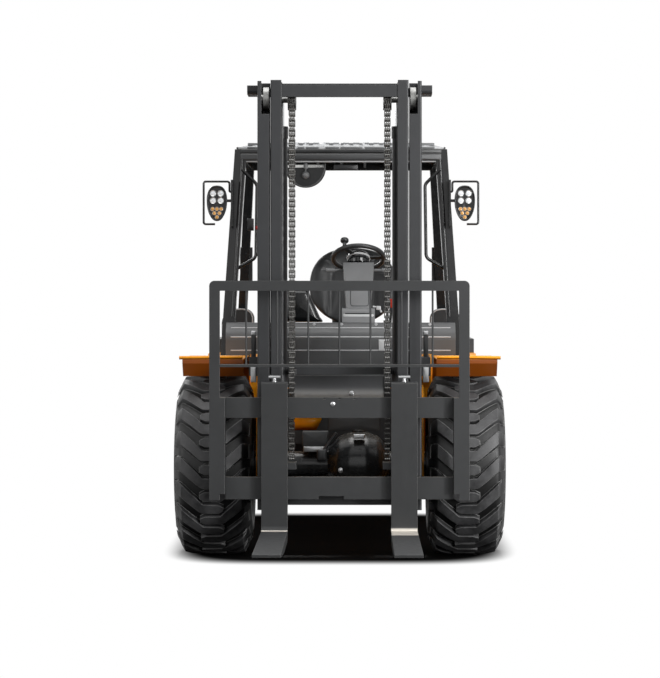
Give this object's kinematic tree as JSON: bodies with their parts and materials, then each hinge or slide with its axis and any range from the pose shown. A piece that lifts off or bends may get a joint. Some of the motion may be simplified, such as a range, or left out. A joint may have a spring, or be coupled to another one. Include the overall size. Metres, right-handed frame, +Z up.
{
  "type": "rough terrain forklift",
  "caption": "Counterbalanced forklift with large drive tyres, a two-stage mast with forks and load backrest, an open overhead guard and rear-wheel steering.",
  "frame": {"origin": "on the floor, midway between the fork tips and the tail, on the truck's middle plane", "axes": "+Z up, the forks point along -Y, +X is the truck's left"},
  "size_m": [1.684, 4.25, 2.42],
  "materials": {
    "tyre_rubber": "satin",
    "orange_paint": "satin",
    "mast_paint": "satin",
    "rim_paint": "satin",
    "cast_paint": "satin",
    "cast_weight": "painted satin",
    "axle_paint": "satin",
    "bright_steel": "machined",
    "hard_chrome": "ground",
    "black_plastic": "textured",
    "roof_plastic": "translucent satin",
    "lamp_plastic": "satin",
    "tail_lens": "gloss",
    "mirror_shell": "satin",
    "seat_vinyl": "grained",
    "chain_steel": "oiled"
  },
  "bodies": {
    "chassis": {"chassis_frame": "orange_paint", "frame_bulkheads": "mast_paint", "side_covers": "black_plastic", "foot_pedals": "black_plastic", "front_axle": "axle_paint", "rear_axle": "axle_paint", "floor_plate": "mast_paint", "step_tanks": "orange_paint", "engine_block": "cast_paint", "front_fenders": "orange_paint", "rear_fenders": "orange_paint", "counterweight": "cast_weight", "radiator_grille": "black_plastic", "tow_hitch": "cast_paint", "cowl": "black_plastic", "steering_column": "black_plastic", "control_levers": "black_plastic", "overhead_guard": "mast_paint", "roof_cover": "roof_plastic", "grab_handles": "mast_paint", "lamp_guards": "mast_paint", "headlamps": "lamp_plastic", "tail_lamps": "tail_lens", "interior_mirror": "mirror_shell"},
    "front_wheel_left": {"front_tyre_left": "tyre_rubber", "front_rim_left": "rim_paint"},
    "front_wheel_right": {"front_tyre_right": "tyre_rubber", "front_rim_right": "rim_paint"},
    "rear_wheel_left": {"rear_tyre_left": "tyre_rubber", "rear_rim_left": "rim_paint"},
    "rear_wheel_right": {"rear_tyre_right": "tyre_rubber", "rear_rim_right": "rim_paint"},
    "knuckle_left": {"steer_knuckle_left": "axle_paint"},
    "knuckle_right": {"steer_knuckle_right": "axle_paint"},
    "steering_rod": {"steer_rod": "hard_chrome"},
    "handwheel": {"steering_wheel": "black_plastic"},
    "engine_hood": {"hood": "orange_paint", "seat_frame": "black_plastic", "seat_cushion": "seat_vinyl", "seat_back": "seat_vinyl"},
    "mast_outer": {"outer_mast": "mast_paint", "outer_mast_rollers": "bright_steel", "lift_barrels": "mast_paint", "lift_chains_back": "chain_steel"},
    "mast_inner": {"inner_mast": "mast_paint", "inner_mast_rollers": "bright_steel", "lift_rods": "hard_chrome", "chain_sheaves": "bright_steel", "lift_chains_front": "chain_steel"},
    "fork_carriage": {"carriage": "mast_paint", "load_backrest": "mast_paint"},
    "left_fork": {"fork_left": "mast_paint"},
    "right_fork": {"fork_right": "mast_paint"},
    "tilt_cylinder_left": {"tilt_barrel_left": "mast_paint"},
    "tilt_cylinder_right": {"tilt_barrel_right": "mast_paint"},
    "tilt_piston_left": {"tilt_rod_left": "hard_chrome"},
    "tilt_piston_right": {"tilt_rod_right": "hard_chrome"}
  },
  "joints": [
    {"name": "front_wheel_left_spin", "type": "hinge", "parent": "chassis", "child": "front_wheel_left", "pos_m": [0.645, -0.455, 0.4665], "axis": [1, 0, 0], "continuous": true},
    {"name": "steer_left", "type": "hinge", "parent": "chassis", "child": "knuckle_left", "pos_m": [0.5, 1.545, 0.38], "axis": [0, 0, 1], "range_deg": [-55, 55]},
    {"name": "rear_wheel_left_spin", "type": "hinge", "parent": "knuckle_left", "child": "rear_wheel_left", "pos_m": [0.665, 1.545, 0.38], "axis": [1, 0, 0], "continuous": true},
    {"name": "tilt_barrel_left_swing", "type": "hinge", "parent": "chassis", "child": "tilt_cylinder_left", "pos_m": [0.435, -0.035, 0.985], "axis": [1, 0, 0], "range_deg": [-2.4, 1.5]},
    {"name": "tilt_rod_left_stroke", "type": "slide", "parent": "tilt_cylinder_left", "child": "tilt_piston_left", "axis": [0, -1, 0], "range_m": [-0.1065, 0.064]},
    {"name": "fork_left_shift", "type": "slide", "parent": "fork_carriage", "child": "left_fork", "axis": [1, 0, 0], "range_m": [-0.2, 0.175]},
    {"name": "front_wheel_right_spin", "type": "hinge", "parent": "chassis", "child": "front_wheel_right", "pos_m": [-0.645, -0.455, 0.4665], "axis": [1, 0, 0], "continuous": true},
    {"name": "steer_right", "type": "hinge", "parent": "chassis", "child": "knuckle_right", "pos_m": [-0.5, 1.545, 0.38], "axis": [0, 0, 1], "range_deg": [-55, 55]},
    {"name": "rear_wheel_right_spin", "type": "hinge", "parent": "knuckle_right", "child": "rear_wheel_right", "pos_m": [-0.665, 1.545, 0.38], "axis": [1, 0, 0], "continuous": true},
    {"name": "tilt_barrel_right_swing", "type": "hinge", "parent": "chassis", "child": "tilt_cylinder_right", "pos_m": [-0.435, -0.035, 0.985], "axis": [1, 0, 0], "range_deg": [-2.4, 1.5]},
    {"name": "tilt_rod_right_stroke", "type": "slide", "parent": "tilt_cylinder_right", "child": "tilt_piston_right", "axis": [0, -1, 0], "range_m": [-0.1065, 0.064]},
    {"name": "fork_right_shift", "type": "slide", "parent": "fork_carriage", "child": "right_fork", "axis": [-1, 0, 0], "range_m": [-0.2, 0.175]},
    {"name": "steer_rod_travel", "type": "slide", "parent": "chassis", "child": "steering_rod", "axis": [1, 0, 0], "range_m": [-0.083, 0.083]},
    {"name": "steering_wheel_turn", "type": "hinge", "parent": "chassis", "child": "handwheel", "pos_m": [0.095, 0.185, 1.545], "axis": [0, 0.4695, 0.8829], "range_deg": [-812, 812]},
    {"name": "mast_tilt", "type": "hinge", "parent": "chassis", "child": "mast_outer", "pos_m": [0, -0.605, 0.38], "axis": [1, 0, 0], "range_deg": [-10, 6]},
    {"name": "mast_lift", "type": "slide", "parent": "mast_outer", "child": "mast_inner", "axis": [0, 0, 1], "range_m": [0, 1.6], "deforming": ["lift_chains_back"]},
    {"name": "carriage_lift", "type": "slide", "parent": "mast_inner", "child": "fork_carriage", "axis": [0, 0, 1], "range_m": [0, 1.6], "deforming": ["lift_chains_front"]},
    {"name": "hood_hinge", "type": "hinge", "parent": "chassis", "child": "engine_hood", "pos_m": [0, 1.29, 1.026], "axis": [-1, 0, 0], "range_deg": [0, 45]}
  ],
  "couplings": [
    {"joint": "steer_right", "follows": "steer_left", "ratio": 1},
    {"joint": "steer_rod_travel", "follows": "steer_left", "m_per_rad": -0.0853},
    {"joint": "steering_wheel_turn", "follows": "steer_left", "ratio": -14.727},
    {"joint": "carriage_lift", "follows": "mast_lift", "ratio": 1},
    {"joint": "tilt_barrel_left_swing", "follows": "mast_tilt", "ratio": 0.235},
    {"joint": "tilt_rod_left_stroke", "follows": "mast_tilt", "m_per_rad": 0.607},
    {"joint": "tilt_barrel_right_swing", "follows": "mast_tilt", "ratio": 0.235},
    {"joint": "tilt_rod_right_stroke", "follows": "mast_tilt", "m_per_rad": 0.607}
  ]
}
